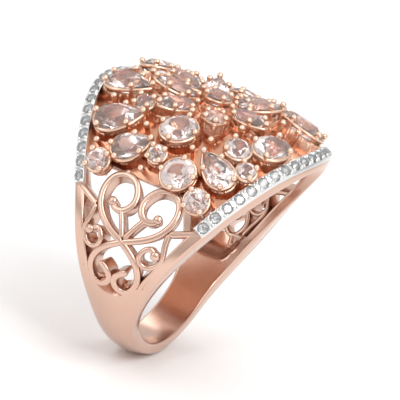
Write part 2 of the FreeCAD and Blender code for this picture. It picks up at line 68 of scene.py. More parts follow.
# ---- the band ----
SHANK_HALF_WIDTH = 1.5
HEAD_HALF_WIDTH = 9.3
FLARE_START = 40.0
FLARE_END = 179.0
RIM_HEIGHTS = ((0, 0.8), (30, 0.8), (60, 1.4), (90, 2.15), (120, 1.5), (150, 1.1), (180, 0.72))
CROWN_HEIGHTS = ((0, 0.4), (60, 0.5), (90, 0.8), (120, 0.85), (180, 0.85))
SHOULDER_WALL = 1.35
HOLLOW_START = 56.0
HOLLOW_FULL = 75.0
WINDOW_START = 75.0
WINDOW_CORNER_RISE = 7.0
PANEL_END = 124.0
RIM_WIDTH = 0.75
EDGE_ROUNDING = 0.17
RIM_INSET = 0.004

# ---- the scrollwork ----
PATTERN_CENTRE = 97.5
PATTERN_HALF_WIDTH = 4.25
PATTERN_HEIGHT = 9.66
STRAND_WIDTH = 0.52
FINE_STRAND_WIDTH = 0.42
STRAND_DEPTH = 1.3
STRAND_CROWN = 0.17
BALL_RADIUS = 0.36

# ---- the diamond rows ----
ROW_START = 112.0
ROW_WIDTH = 0.95
ROW_RISE = 0.45
CHANNEL_LIP = 0.3
RAIL_RELIEF = 0.2
RELIEF_RUN_OUT = 8.0
RAIL_LAP = 0.02
DIAMOND_DIAMETER = 0.86
DIAMOND_GAP = 0.3
DIAMOND_SINK = 0.04
BEAD_RADIUS = 0.14
BEAD_RISE = 0.17
BEAD_ACROSS = 0.29
LIP_HEIGHT = 0.03
SEAT_DEPTH = 0.36
SEAT_CLEARANCE = 0.01

# ---- the head ----
DOME_EDGE_HEIGHT = 1.7
DOME_RISE = 1.45
DOME_SHOULDER_SHARE = 0.7
DOME_RISE_START = 119.0
DOME_RISE_END = 145.0
TEMPLATE_RISE_SHARE = 0.65
TEMPLATE_RADIUS = FINGER_RADIUS + DOME_EDGE_HEIGHT + DOME_RISE * TEMPLATE_RISE_SHARE


# ---- the gallery plate and the posts that fill the gaps between the stones ----
PLATE_START = 124.0
PLATE_DEPTH = 1.3
PLATE_THICKNESS = 0.4
PLATE_OVERLAP = 0.25
CUP_DEPTH = 0.5
CUP_WALL = 0.13
CUP_SLOPE = 0.16
CUP_REACH = 1.0
CUP_EDGE_SHARE = 0.03
PLATE_CLEARANCE = 0.1
FILLER_POSTS = (
    (-0.3, 5.5), (-0.5, 6.85), (-3.65, -3.85), (-6.2, -2.6), (-5.45, 6.2), (-7.2, 2.38),
    (-7.55, -1.8), (-10.55, 1.0), (-4.3, 0.1), (-9.72, 5.3),
)
FILLER_RADIUS = 0.2
FILLER_BALL = 0.26

# ---- the stones and their settings ----
GIRDLE = 0.14
CROWN_SLOPE = 0.8
PAVILION_SHARE = 0.46
TABLE_SHARE = 0.56
PEAR_BELLY = 1.18
PEAR_TAPER = 0.9
MARQUISE_TAPER = 0.5
STONE_MAINS = 10
DIAMOND_MAINS = 8
COLLAR_DEPTH = 1.6
COLLAR_DRAFT = 0.8
# a basket's round wires: radius, growth over the girdle, depth under it and taper
WIRES = ((0.15, 0.02, 0.18, 1.0), (0.17, 0.0, 1.1, 0.87))
PRONG_RADIUS = 0.19
PRONG_BALL = 0.25
PRONG_HEIGHT = 0.24
PRONG_SPACING = 0.46
PRONG_CLEARANCE = 0.2

# name, cut, x, y, heading, length, width, lift and tip of each stone on the flat template
CENTRE_STONE = ("centre_stone", "oval", 0.0, 0.0, 0.0, 2.0, 2.0, -0.45, 0.0)
HALF_CLUSTER = (
    ("petal_1", "marquise", -3.65, 1.68, 149.0, 3.6, 1.85, -0.4, 16.0),
    ("petal_2", "marquise", -1.6, 2.86, 120.0, 3.6, 1.9, -0.25, 21.0),
    ("petal_3", "pear", -3.65, -1.55, 204.0, 3.4, 2.2, -0.35, 24.0),
    ("petal_4", "marquise", -1.4, -3.35, 250.0, 3.7, 2.0, -0.4, 11.0),
    ("back_pear", "pear", -7.25, 4.75, -60.0, 3.8, 2.75, 0.0, 0.0),
    ("small_pear", "pear", -9.2, 2.55, -50.0, 3.2, 2.3, 0.0, 0.0),
    ("inner_oval", "oval", -6.45, 0.0, -47.0, 2.9, 2.5, 0.0, 0.0),
    ("shoulder_oval", "oval", -9.85, -1.8, -41.0, 2.7, 2.4, 0.0, 0.0),
    ("shoulder_round", "oval", -11.2, -4.05, 0.0, 1.9, 1.9, 0.0, 0.0),
    ("front_pear", "pear", -8.24, -4.2, 61.0, 3.4, 2.4, 0.0, 0.0),
    ("edge_round", "oval", -7.2, -6.24, 0.0, 1.5, 1.5, 0.0, 0.0),
    ("gap_round", "oval", -5.73, -4.72, 0.0, 2.0, 2.0, 0.0, 0.0),
    ("edge_oval", "oval", -3.77, -6.58, -30.0, 3.1, 2.4, 0.0, 0.0),
    ("small_round", "oval", -9.1, 0.42, 0.0, 1.4, 1.4, 0.0, 0.0),
    ("corner_round", "oval", -11.2, 4.5, 0.0, 1.8, 1.8, 0.0, 0.0),
    ("inner_round", "oval", -5.2, 3.75, 0.0, 1.55, 1.55, 0.0, 0.0),
    ("edge_pear", "pear", -3.2, 6.05, -90.0, 3.9, 2.75, 0.0, 0.0),
)

# the strands of one side of the scrollwork: y from the middle, v up from the heart's point
HEART = (
    (0.0, 0.0), (1.35, 0.62), (2.45, 1.5), (3.05, 2.7), (3.08, 3.75), (2.7, 4.6), (1.95, 4.98),
    (1.2, 4.85), (0.6, 4.2), (0.33, 3.4), (0.5, 2.65), (1.05, 2.18), (1.65, 2.25), (1.95, 2.6),
)
STAY = ((1.0, 2.15), (0.55, 1.3), (0.1, 0.3))
LOOP = (
    (0.0, 0.0), (0.8, -0.5), (1.55, -1.2), (2.0, -2.2), (1.85, -3.3), (1.2, -3.95), (0.55, -3.75),
    (0.2, -3.1), (0.45, -2.6), (1.2, -2.1),
)
SCROLL = ((2.8, -0.05), (2.3, 0.3), (1.8, -0.1), (1.75, -0.8), (2.3, -1.2), (2.95, -0.95), (3.3, -0.3))
SIDE_STRAND = ((3.15, 1.9), (3.2, 0.9), (3.35, -0.3), (3.0, -1.5), (2.4, -2.9), (2.1, -4.2))
SIDE_BRANCH = ((3.15, 1.9), (3.8, 2.2), (4.6, 2.6), (5.4, 3.0))
TOP_LINK = ((1.95, 4.98), (1.95, 5.15), (1.95, 5.35))
LOOP_ROOT = ((1.2, -3.95), (1.3, -4.4), (1.5, -5.0))
BALLS = ((1.95, 2.6), (2.8, -0.05))


# ---- shape helpers ----
def smooth_step(value):
    """0 below 0, 1 above 1, and 3t^2 - 2t^3 between."""
    t = np.clip(value, 0.0, 1.0)
    return t * t * (3.0 - 2.0 * t)


def folded(angle):
    turn = np.mod(angle, 360.0)
    return np.minimum(turn, 360.0 - turn)


def station_value(stations, angle):
    """Cubic pieces through the stations whose slopes are those of the neighbours' chords."""
    a = folded(angle)
    places, values = np.array(stations, float).T
    slopes = np.zeros(len(places))
    slopes[1:-1] = (values[2:] - values[:-2]) / (places[2:] - places[:-2])
    i = np.clip(np.searchsorted(places, a) - 1, 0, len(places) - 2)
    span = places[i + 1] - places[i]
    t = (a - places[i]) / span
    stay = 2 * t ** 3 - 3 * t ** 2 + 1
    lead = t ** 3 - 2 * t ** 2 + t
    trail = t ** 3 - t ** 2
    return stay * values[i] + (1 - stay) * values[i + 1] + span * (lead * slopes[i] + trail * slopes[i + 1])


def half_width(angle):
    share = smooth_step((folded(angle) - FLARE_START) / (FLARE_END - FLARE_START))
    return SHANK_HALF_WIDTH + (HEAD_HALF_WIDTH - SHANK_HALF_WIDTH) * share


def rim_radius(angle):
    return FINGER_RADIUS + station_value(RIM_HEIGHTS, angle)


def band_top(angle, y):
    """The outer face: the rim at the edges and a parabola that stands over it between them."""
    across = np.clip(np.abs(y) / half_width(angle), 0.0, 1.0)
    return rim_radius(angle) + station_value(CROWN_HEIGHTS, angle) * (1.0 - across ** 2)


def opening_half(angle):
    share = smooth_step((folded(angle) - WINDOW_START) / (ROW_START - WINDOW_START))
    return half_width(angle) - RIM_WIDTH - (ROW_WIDTH - RIM_WIDTH) * share


def dome_radius(angle, y):
    """The surface that the girdles follow: a parabola across, flatter over the shoulders."""
    across = np.clip(np.abs(y) / HEAD_HALF_WIDTH, 0.0, 1.0)
    up = smooth_step((folded(angle) - DOME_RISE_START) / (DOME_RISE_END - DOME_RISE_START))
    share = DOME_SHOULDER_SHARE + (1.0 - DOME_SHOULDER_SHARE) * up
    return FINGER_RADIUS + DOME_EDGE_HEIGHT + DOME_RISE * (1.0 - across ** 2) * share


def at(angle, y, radius):
    """Points at an angle round the ring, a place along the finger and a radius."""
    turn = np.radians(angle)
    return np.stack(np.broadcast_arrays(-radius * np.sin(turn), y, -radius * np.cos(turn)), -1)


def unit(vectors):
    return vectors / np.linalg.norm(vectors, axis=-1, keepdims=True)


def smooth_line(points, count):
    """A natural cubic spline through the points, parametrised by the chords between them."""
    p = np.array(points, float)
    chords = np.linalg.norm(np.diff(p, axis=0), axis=1)
    knots = np.concatenate([[0.0], np.cumsum(chords)])
    n = len(p)
    system = np.eye(n)
    right = np.zeros_like(p)
    for i in range(1, n - 1):
        before, after = chords[i - 1], chords[i]
        system[i, i - 1:i + 2] = before, 2 * (before + after), after
        right[i] = 6 * ((p[i + 1] - p[i]) / after - (p[i] - p[i - 1]) / before)
    bend = np.linalg.solve(system, right)
    t = np.linspace(0.0, knots[-1], count)
    i = np.clip(np.searchsorted(knots, t) - 1, 0, n - 2)
    h = (knots[i + 1] - knots[i])[:, None]
    b = (t - knots[i])[:, None] / h
    a = 1.0 - b
    return a * p[i] + b * p[i + 1] + ((a ** 3 - a) * bend[i] + (b ** 3 - b) * bend[i + 1]) * h ** 2 / 6


# ---- meshes ----
class Body:
    """Gathers closed surfaces, each with its faces turned outwards, into one mesh."""

    def __init__(self):
        self.points = []
        self.faces = []
        self.count = 0
        self.shade = None

    def add(self, points, faces):
        """One closed surface; its signed volume says whether the faces have to be turned."""
        tri = faces if faces.shape[1] == 3 else np.concatenate([faces[:, :3], faces[:, [0, 2, 3]]])
        a, b, c = points[tri[:, 0]], points[tri[:, 1]], points[tri[:, 2]]
        if np.einsum("ij,ij->", a, np.cross(b, c)) < 0:
            faces = faces[:, ::-1]
        self.points.append(points)
        self.faces += (faces + self.count).tolist()
        self.count += len(points)

    def add_tube(self, rings):
        """Rings of points in order, joined side by side and closed by a fan at each end."""
        rows, cols = rings.shape[:2]
        index = np.arange(rows * cols).reshape(rows, cols)
        here, there = index[:-1], index[1:]
        walls = np.stack([here, np.roll(here, -1, 1), np.roll(there, -1, 1), there], -1).reshape(-1, 4)
        ends = rings[[0, -1]].mean(1)
        first, last = rows * cols, rows * cols + 1
        points = np.concatenate([rings.reshape(-1, 3), ends])
        low = np.stack([np.roll(index[0], -1), index[0], np.full(cols, first)], -1)
        high = np.stack([index[-1], np.roll(index[-1], -1), np.full(cols, last)], -1)
        tri = np.concatenate([walls[:, :3], walls[:, [0, 2, 3]], low, high])
        self.add(points, tri)

    def add_ring(self, rings):
        """A tube whose last ring joins the first, such as a collar."""
        rows, cols = rings.shape[:2]
        here = np.arange(rows * cols).reshape(rows, cols)
        there = np.roll(here, -1, 0)
        walls = np.stack([here, np.roll(here, -1, 1), np.roll(there, -1, 1), there], -1).reshape(-1, 4)
        self.add(rings.reshape(-1, 3), np.concatenate([walls[:, :3], walls[:, [0, 2, 3]]]))

    def make(self, name, material, nodes, smooth_angle=None):
        """The finished piece; faces meeting at less than the smooth angle are shaded as one."""
        mesh = bpy.data.meshes.new(name)
        points = np.concatenate(self.points) * MM
        mesh.from_pydata(points.tolist(), [], self.faces)
        mesh.polygons.foreach_set("use_smooth", np.full(len(self.faces), smooth_angle is not None))
        if smooth_angle is not None:
            mesh.set_sharp_from_angle(angle=math.radians(smooth_angle))
        if self.shade is not None:
            mesh.attributes.new("shade", "FLOAT", "POINT").data.foreach_set("value", self.shade)
        mesh.materials.append(material)
        piece = bpy.data.objects.new(name, mesh)
        bpy.context.scene.collection.objects.link(piece)
        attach(piece, "root")
        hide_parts(*nodes)
        return piece


def rounded_section(across_steps, corner_steps):
    """A closed section as shares: u across (-1..1), w from the inner face (0) to the outer (1),
    and e, g, the steps of the rounded corners across and outwards in roundings."""
    u_line = np.linspace(1.0, -1.0, across_steps)
    turn = np.radians(np.linspace(0.0, 90.0, corner_steps)[1:-1])
    cos, sin = np.cos(turn), np.sin(turn)
    one = np.ones_like(turn)
    zero = np.zeros_like(u_line)
    u = [u_line, -one, -one, -u_line, one, one]
    e = [-u_line, 1 - sin, 1 - cos, u_line, sin - 1, cos - 1]
    w = [zero + 1, one, 0 * one, zero, 0 * one, one]
    g = [zero, cos - 1, 1 - sin, zero, 1 - cos, sin - 1]
    return [np.concatenate(part) for part in (u, e, w, g)]


def banded(angle, low_y, high_y, inner, outer, rounding, section):
    """Rings of a rounded section between two edges (y) and two faces (radius from angle and y)."""
    u, e, w, g = section
    middle, half = (low_y + high_y) / 2, (high_y - low_y) / 2
    y = middle + u * half + e * rounding
    low, high = inner(angle, y), outer(angle, y)
    return at(angle, y, low + (high - low) * w + g * rounding)


# ---- the shank ----
def scooped_bore(angle, y):
    """The bore, with a smooth spoon-shaped scoop behind each shoulder's window."""
    opening = opening_half(angle)
    share = smooth_step((folded(angle) - HOLLOW_START) / (HOLLOW_FULL - HOLLOW_START))
    full = band_top(angle, y) - SHOULDER_WALL - FINGER_RADIUS
    depth = (full + SHOULDER_WALL / 2) * share - SHOULDER_WALL / 2
    rounding = 1.0 - np.clip(np.abs(y) / opening, 0.0, 1.0) ** 8
    return FINGER_RADIUS + np.clip(depth, 0.0, None) * rounding


def shank_band():
    """The solid band from window to window.  Its ends rise towards the rims, so the windows
    have rounded lower corners: the end angle grows with the cube of the share across."""
    section = rounded_section(41, 7)
    open_share = opening_half(WINDOW_START) / half_width(WINDOW_START)
    corner = np.clip(np.abs(section[0]) / open_share, 0.0, 1.0) ** 3
    end = WINDOW_START + WINDOW_CORNER_RISE * corner
    angle = np.linspace(-1.0, 1.0, 241)[:, None] * end
    half = half_width(angle)
    return banded(angle, -half, half, scooped_bore, band_top, EDGE_ROUNDING, section)


def window_rim(side, mirror):
    """The solid edge band beside a window, a hair inside the shank where the two meet."""
    section = rounded_section(9, 7)
    angle = np.linspace(WINDOW_START - 3.0, ROW_START, 70)[:, None]
    inset = RIM_INSET * (1.0 - smooth_step((angle - WINDOW_START - WINDOW_CORNER_RISE) / 5.0))
    edges = side * opening_half(angle), side * (half_width(angle) - inset)
    low_y, high_y = np.minimum(*edges), np.maximum(*edges)
    rings = banded(angle, low_y, high_y, lambda a, y: FINGER_RADIUS + inset,
                   lambda a, y: band_top(a, y) - inset, EDGE_ROUNDING, section)
    return rings * np.array([mirror, 1.0, 1.0])


def make_shank(material):
    body = Body()
    body.add_tube(shank_band())
    for side in (-1, 1):
        for mirror in (-1, 1):
            body.add_tube(window_rim(side, mirror))
    return body.make("polished_shank", material, ["shank"], 40)


# ---- the scrollwork ----
def on_panel(points, side, lift=0.0):
    """Template points laid on the shoulder's outer face."""
    scale_y = opening_half(PATTERN_CENTRE) / (PATTERN_HALF_WIDTH - RIM_WIDTH)
    scale_v = (PANEL_END - WINDOW_START) / PATTERN_HEIGHT
    y = side * points[..., 0] * scale_y
    angle = PATTERN_CENTRE + points[..., 1] * scale_v
    return at(angle, y, band_top(angle, y) + lift)


def panel_normals(points, side):
    step = 0.02
    along = on_panel(points + [0, step], side) - on_panel(points - [0, step], side)
    across = on_panel(points + [step, 0], side) - on_panel(points - [step, 0], side)
    normal = unit(np.cross(along, across))
    outward = on_panel(points, side, 1.0) - on_panel(points, side)
    return normal * np.sign(np.sum(normal * outward, -1, keepdims=True))


def strand_profile(width):
    """A wire's section: half an ellipse on top, straight flanks and a rounded foot."""
    turn = np.radians(np.linspace(0.0, 180.0, 13))
    top = np.stack([width / 2 * np.cos(turn), STRAND_CROWN * (np.sin(turn) - 0.85)], -1)
    foot = np.stack([width / 2 * 0.8 * np.cos(turn + np.pi), -STRAND_DEPTH - 0.12 * np.sin(turn)], -1)
    return np.concatenate([top, foot[::2]])


def strand(points, side, width):
    """The profile carried along a smooth line on the shoulder, with round ends."""
    count = 10 * len(points)
    line = smooth_line(points, count)
    path = on_panel(line, side)
    normal = panel_normals(line, side)
    tangent = unit(np.gradient(path, axis=0))
    across = unit(np.cross(normal, tangent))
    travelled = np.concatenate([[0.0], np.cumsum(np.linalg.norm(np.diff(path, axis=0), axis=1))])
    to_end = np.minimum(travelled, travelled[-1] - travelled) / (width / 2)
    narrow = np.sqrt(np.clip(1.0 - (1.0 - np.clip(to_end, 0.03, 1.0)) ** 2, 0.0, 1.0))
    profile = strand_profile(width)
    side_step = across[:, None] * (profile[None, :, 0] * narrow[:, None])[..., None]
    return path[:, None] + side_step + normal[:, None] * profile[None, :, 1, None]


def stud(point, side):
    """The round ball that ends a curl: a turned shape standing square to the shoulder."""
    place = np.array([point], float)
    centre = on_panel(place, side)[0]
    normal = panel_normals(place, side)[0]
    rise = np.radians(np.linspace(-10.0, 90.0, 8))
    radii = np.concatenate([[0.6, 0.85], np.cos(rise)]) * BALL_RADIUS
    heights = np.concatenate([[-STRAND_DEPTH, -STRAND_DEPTH * 0.5], 0.22 * np.sin(rise) + 0.02])
    return turned(radii, heights, centre, normal)


def turned(radii, heights, centre, axis, steps=16):
    """A shape turned on an axis: rings of the given radii at the given heights."""
    helper = np.array([1.0, 0.0, 0.0]) if abs(axis[0]) < 0.8 else np.array([0.0, 1.0, 0.0])
    u = unit(np.cross(axis, helper))
    v = np.cross(axis, u)
    turn = np.linspace(0.0, 2 * np.pi, steps, endpoint=False)
    rim = np.cos(turn)[:, None] * u + np.sin(turn)[:, None] * v
    return centre + rim[None] * radii[:, None, None] + axis * heights[:, None, None]


def make_scrollwork(name, mirror, material, node):
    body = Body()
    flip = np.array([mirror, 1.0, 1.0])
    wide = (HEART, LOOP, TOP_LINK, SIDE_BRANCH, LOOP_ROOT)
    fine = (SIDE_STRAND, STAY, SCROLL)
    for side in (-1, 1):
        for points in wide:
            body.add_tube(strand(points, side, STRAND_WIDTH) * flip)
        for points in fine:
            body.add_tube(strand(points, side, FINE_STRAND_WIDTH) * flip)
        for point in BALLS:
            body.add_tube(stud(point, side) * flip)
    return body.make(name, material, [node], 50)


# ---- the edge rails and diamond channels ----
def make_rail(name, side, material, node):
    """The rose-gold edge under a diamond row, relieved from the finger away from its ends."""
    body = Body()
    angle = np.linspace(ROW_START, 360.0 - ROW_START, 200)[:, None]
    outer = side * half_width(angle)
    inner = side * (half_width(angle) - ROW_WIDTH)

    def relieved(a, y):
        return FINGER_RADIUS + RAIL_RELIEF * smooth_step((folded(a) - ROW_START) / RELIEF_RUN_OUT)

    body.add_tube(banded(angle, np.minimum(outer, inner), np.maximum(outer, inner), relieved,
                         lambda a, y: rim_radius(a) + RAIL_LAP, EDGE_ROUNDING * 0.7, rounded_section(5, 6)))
    return body.make(name, material, [node], 40)


def row_point(angle, side):
    radius = rim_radius(angle) + CHANNEL_LIP + ROW_RISE / 2
    return at(angle, side * (half_width(angle) - ROW_WIDTH / 2), radius)


def row_frames(angle, side):
    """Point, way along, way across (outwards) and normal of the row's sloping top face."""
    way = unit(row_point(angle + 0.5, side) - row_point(angle - 0.5, side))
    outwards = at(angle, side * ROW_WIDTH, -ROW_RISE)
    normal = unit(np.cross(way, outwards) * side)
    normal = normal * np.sign(np.sum(normal * at(angle, 0.0, 1.0), -1, keepdims=True))
    across = np.cross(normal, way)
    across = across * np.sign(np.sum(across * outwards, -1, keepdims=True))
    return row_point(angle, side), way, across, normal


def row_measure(side):
    """Angles along the row with the distance travelled to each, and the diamonds' pitch."""
    angles = np.linspace(ROW_START, 360.0 - ROW_START, 1401)
    steps = np.linalg.norm(np.diff(row_point(angles, side), axis=0), axis=1)
    travelled = np.concatenate([[0.0], np.cumsum(steps)])
    count = int(travelled[-1] / (DIAMOND_DIAMETER + DIAMOND_GAP))
    return angles, travelled, travelled[-1] / count, count


def make_channel(name, side, material, node):
    """White channel whose top face is a height over (along, across): a cone-shaped seat under
    each diamond, a raised lip along both edges and a round bead at the seats' corners."""
    angles, travelled, pitch, count = row_measure(side)
    along = np.linspace(0.0, travelled[-1], count * 28 + 1)
    angle = np.interp(along, travelled, angles)
    point, way, across, normal = row_frames(angle, side)
    t = np.linspace(-1.0, 1.0, 27)
    s = (np.mod(along, pitch) - pitch / 2)[:, None]
    y = (t * ROW_WIDTH / 2)[None, :]
    seat = np.clip(1.0 - np.hypot(s, y) / (DIAMOND_DIAMETER / 2 + SEAT_CLEARANCE), 0.0, 1.0)
    from_gap = pitch / 2 - np.abs(s)
    from_bead = np.hypot(from_gap - BEAD_RADIUS, np.abs(y) - BEAD_ACROSS) / BEAD_RADIUS
    bead = np.sqrt(np.clip(1.0 - from_bead ** 2, 0.0, 1.0))
    lip = smooth_step((np.abs(t)[None, :] - 0.88) / 0.08)
    worn_edge = smooth_step((np.abs(t)[None, :] - 0.93) / 0.07)
    height = LIP_HEIGHT * (lip - worn_edge) + BEAD_RISE * bead - SEAT_DEPTH * smooth_step(seat * 1.6)
    top = point[:, None] + across[:, None] * y[..., None] + normal[:, None] * height[..., None]
    rim = rim_radius(angle)[:, None]
    outer = side * half_width(angle)[:, None]
    inner = outer - side * ROW_WIDTH
    foot = at(angle[:, None], np.concatenate([outer, inner], 1), rim)
    body = Body()
    body.add_tube(np.concatenate([top, foot], 1))
    # painted shade: a per-point share marking the seats under the diamonds, which the plating turns darker
    # grey
    body.shade = np.zeros(body.count, np.float32)
    in_seat = np.concatenate([smooth_step(seat * 3.0), np.zeros((len(along), 2))], 1)
    body.shade[:in_seat.size] = in_seat.ravel()
    return body.make(name, material, [node], 35)


def make_row_diamonds(name, side, material, node):
    angles, travelled, pitch, count = row_measure(side)
    wanted = (np.arange(count) + 0.5) * pitch
    point, way, across, normal = row_frames(np.interp(wanted, travelled, angles), side)
    points, faces = gem("oval", DIAMOND_DIAMETER, DIAMOND_DIAMETER, DIAMOND_MAINS)
    body = Body()
    for p, w, n in zip(point, way, normal):
        axes = np.stack([w, np.cross(n, w), n])
        body.add(p - n * DIAMOND_SINK + points @ axes, faces)
    return body.make(name, material, [node])


# ---- stones ----
def outline(cut, length, width, t):
    """The girdle at the angles t; a pear or marquise points along +x.  An ellipse, whose width
    is multiplied by a power of sin(t/2) for a pear and of sin(t) for a marquise."""
    x = length / 2 * np.cos(t)
    y = width / 2 * np.sin(t)
    if cut == "pear":
        y = y * PEAR_BELLY * np.abs(np.sin(t / 2)) ** PEAR_TAPER
    if cut == "marquise":
        y = y * np.abs(np.sin(t)) ** MARQUISE_TAPER
    return np.stack([x, y], -1)


def gem(cut, length, width, mains):
    """A brilliant cut of flat triangles: table, stars, kites, halves, girdle, lower halves and
    pavilion mains.  Every layer is the outline at its own share and height."""
    k = np.arange(mains)
    turn = 2 * np.pi / mains
    crown = width / 2 * (1 - TABLE_SHARE) * CROWN_SLOPE
    pavilion = PAVILION_SHARE * width

    def layer(t, share, z):
        flat = outline(cut, length, width, t) * share
        return np.concatenate([flat, np.full((len(t), 1), z)], 1)

    half = np.arange(2 * mains)
    layers = [
        layer((k + 0.5) * turn, TABLE_SHARE, GIRDLE / 2 + crown),
        layer(k * turn, 0.5 + TABLE_SHARE / 2 + 0.02, GIRDLE / 2 + crown * 0.52),
        layer(half * turn / 2, 1.0, GIRDLE / 2),
        layer(half * turn / 2, 1.0, -GIRDLE / 2),
        layer(k * turn, 0.26, -GIRDLE / 2 - pavilion * 0.78),
        np.array([[0.0, 0.0, -pavilion]]),
        np.array([[0.0, 0.0, GIRDLE / 2 + crown]]),
    ]
    points = np.concatenate(layers)
    starts = np.cumsum([0] + [len(part) for part in layers])
    table, kite, upper, lower, deep, culet, centre = starts[:-1]
    after = (k + 1) % mains
    before = (k - 1) % mains
    even, odd, back = 2 * k, 2 * k + 1, (2 * k - 1) % (2 * mains)
    wrap = (half + 1) % (2 * mains)
    triangles = [
        (table + k, table + after, np.full(mains, centre)),
        (table + before, kite + k, table + k),
        (table + k, kite + k, upper + odd),
        (table + k, upper + odd, kite + after),
        (kite + k, upper + even, upper + odd),
        (kite + k, upper + back, upper + even),
        (upper + half, lower + half, lower + wrap),
        (upper + half, lower + wrap, upper + wrap),
        (deep + k, lower + odd, lower + even),
        (deep + k, lower + even, lower + back),
        (deep + k, deep + after, lower + odd),
        (deep + k, np.full(mains, culet), deep + after),
    ]
    return points, np.concatenate([np.stack(tri, -1) for tri in triangles])


def cluster():
    """Every stone of the head; the second half is the first turned half round."""
    stones = []
    for turn, suffix, sign in ((0.0, "_left", 1), (180.0, "_right", -1)):
        for name, cut, x, y, heading, length, width, lift, tip in HALF_CLUSTER:
            stones.append((name + suffix, cut, sign * x, sign * y, heading + turn, length, width, lift, tip))
    return stones + [CENTRE_STONE]


def stone_frame(stone):
    """Centre and axes of a stone on the dome, turned to its heading, its outer end tipped up."""
    name, cut, x, y, heading, length, width, lift, tip = stone

    def on_dome(px, py):
        angle = 180.0 + math.degrees(px / TEMPLATE_RADIUS)
        return at(angle, py, dome_radius(angle, py) + lift)

    step = 0.05
    along = on_dome(x + step, y) - on_dome(x - step, y)
    across = on_dome(x, y + step) - on_dome(x, y - step)
    normal = unit(np.cross(along, across))
    along = unit(along - normal * (along @ normal))
    turn = math.radians(heading)
    forward = along * math.cos(turn) + np.cross(normal, along) * math.sin(turn)
    outward = 1.0 if x * math.cos(turn) + y * math.sin(turn) > 0 else -1.0
    rise = math.radians(tip) * outward
    tipped = forward * math.cos(rise) + normal * math.sin(rise)
    upright = normal * math.cos(rise) - forward * math.sin(rise)
    return on_dome(x, y), np.stack([tipped, np.cross(upright, tipped), upright])


def make_gem(stone, material):
    centre, axes = stone_frame(stone)
    points, faces = gem(stone[1], stone[5], stone[6], STONE_MAINS)
    body = Body()
    body.add(centre + points @ axes, faces)
    return body.make(stone[0] + "_gem", material, [stone[0]])


# ---- settings ----
def template_outline(stone, steps):
    name, cut, x, y, heading, length, width, lift, tip = stone
    turn = math.radians(heading)
    local = outline(cut, length, width, np.linspace(0.0, 2 * np.pi, steps, endpoint=False))
    spin = np.array([[math.cos(turn), math.sin(turn)], [-math.sin(turn), math.cos(turn)]])
    return local, np.array([x, y]) + local @ spin


def prong_spots(stones):
    """Local places of every stone's posts, and whether a neighbour leaves room for a ball end."""
    turns = {"marquise": (0, 180, 62, 118, 242, 298), "pear": (0, 72, 150, 210, 288)}
    steps = 40
    rims = {s[0]: template_outline(s, steps) for s in stones}
    taken = []
    spots = {}
    for stone in stones:
        local, ring = rims[stone[0]]
        others = np.concatenate([rims[s[0]][1] for s in stones if s is not stone])
        spots[stone[0]] = []
        for turn in turns.get(stone[1], (45, 135, 225, 315)):
            i = int(round(turn / 360.0 * steps)) % steps
            clear = np.linalg.norm(others - ring[i], axis=1).min() >= PRONG_CLEARANCE
            ball = clear and all(math.dist(ring[i], q) >= PRONG_SPACING for q in taken)
            if ball:
                taken.append(ring[i])
            spots[stone[0]].append((local[i], ball))
    return spots


def wire_ring(stone, radius, grow, depth, draft):
    """A round wire bent to the outline: circles carried round it at one depth."""
    t = np.linspace(0.0, 2 * np.pi, 72, endpoint=False)
    flat = outline(stone[1], (stone[5] + 2 * grow) * draft, (stone[6] + 2 * grow) * draft, t)
    ahead = np.roll(flat, -1, 0) - np.roll(flat, 1, 0)
    outward = unit(np.stack([ahead[:, 1], -ahead[:, 0]], -1))
    turn = np.linspace(0.0, 2 * np.pi, 10, endpoint=False)
    place = flat[:, None] + outward[:, None] * (radius * np.cos(turn))[None, :, None]
    height = np.broadcast_to(radius * np.sin(turn) - depth, place.shape[:2])
    return np.concatenate([place, height[..., None]], -1)


def prong(spot, ball):
    """A post, with a ball end or a flat one under the girdle; it leans in towards its foot."""
    rise = np.radians(np.linspace(-50.0, 90.0, 9))
    radii = np.concatenate([[0.14, 0.15, 0.17, PRONG_RADIUS], PRONG_BALL * np.cos(rise)])
    radii[-1] = 0.01
    heights = np.concatenate([[-1.5, -1.0, -0.5, -0.05], PRONG_HEIGHT + PRONG_BALL * np.sin(rise)])
    if not ball:
        radii, heights = radii[:4], heights[:4] - 0.1
    rings = turned(radii, heights, np.zeros(3), np.array([0.0, 0.0, 1.0]), 12)
    lean = 1.0 - (1.0 - COLLAR_DRAFT) * np.clip(-heights, 0.0, None) / COLLAR_DEPTH
    rings[..., :2] += np.array(spot) * lean[:, None, None]
    return rings


def make_baskets(name, stones, spots, material, node):
    body = Body()
    for stone in stones:
        centre, axes = stone_frame(stone)
        for wire in WIRES:
            body.add_ring(centre + wire_ring(stone, *wire) @ axes)
        for spot, ball in spots[stone[0]]:
            body.add_tube(centre + prong(spot, ball) @ axes)
    return body.make(name, material, [node], 50)


# ---- the gallery plate ----
def filler_post(x, y):
    """A ball-ended post that stands on the plate between the stones."""
    rise = np.radians(np.linspace(-45.0, 90.0, 8))
    radii = np.concatenate([[FILLER_RADIUS] * 3, FILLER_BALL * np.cos(rise)])
    radii[-1] = 0.01
    heights = np.concatenate([[-1.4, -0.8, -0.25], FILLER_BALL * np.sin(rise)])
    centre, axes = stone_frame(("post", "oval", x, y, 0.0, 0.0, 0.0, 0.0, 0.0))
    return centre + turned(radii, heights, np.zeros(3), np.array([0.0, 0.0, 1.0]), 14) @ axes


